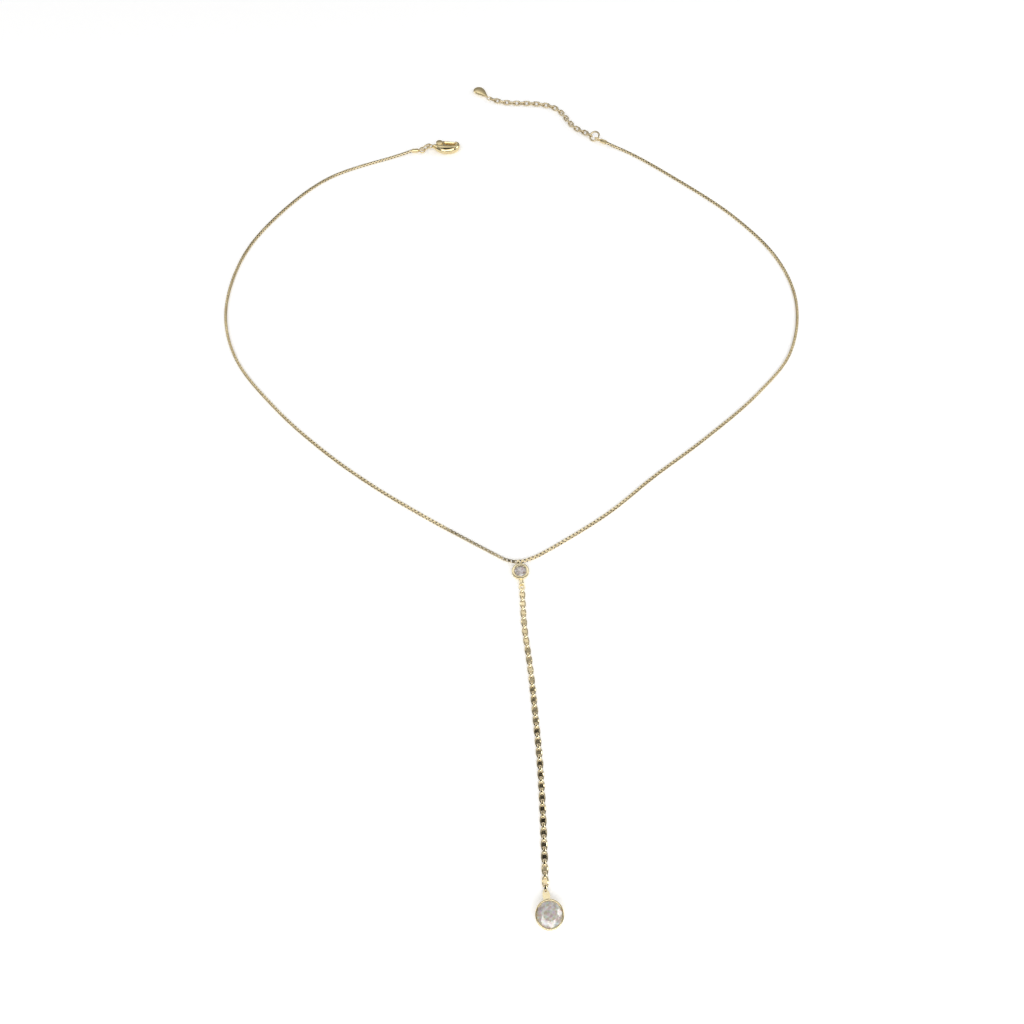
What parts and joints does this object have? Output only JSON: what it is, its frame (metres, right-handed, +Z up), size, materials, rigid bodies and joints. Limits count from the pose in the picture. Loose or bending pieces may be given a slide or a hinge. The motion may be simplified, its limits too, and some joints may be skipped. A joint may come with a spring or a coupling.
{
  "type": "y necklace",
  "caption": "Fine box-chain necklace with a round stone at the front, a straight plate-link drop ending in a larger round stone, and a lobster clasp with an extender; laid open.",
  "frame": {"origin": "on the surface, under the middle of the whole outline as it lies", "axes": "+Z up from the surface, +Y from the large stone towards the clasp, +X to the extender's side"},
  "size_m": [0.1708, 0.2756, 0.0034],
  "materials": {
    "gold": "polished pale gold plate",
    "stone": "clear faceted crystal"
  },
  "bodies": {
    "necklace": {"box_chain_left": "gold", "box_chain_right": "gold", "end_cap_left": "gold", "end_cap_right": "gold", "clasp_ring": "gold", "clasp_body": "gold", "extender_ring": "gold", "extender_chain": "gold", "extender_tag": "gold", "small_setting": "gold", "small_stone": "stone", "drop_chain": "gold", "large_setting": "gold", "large_stone": "stone"},
    "lever": {"clasp_lever": "gold"}
  },
  "joints": [
    {"name": "lever_hinge", "type": "hinge", "parent": "necklace", "child": "lever", "pos_m": [-0.02441, 0.10446, 0.0013], "axis": [0, 0, -1], "range_deg": [0, 9], "stiffness_Nm_per_rad": 0.0004, "springref_deg": -5.73}
  ]
}
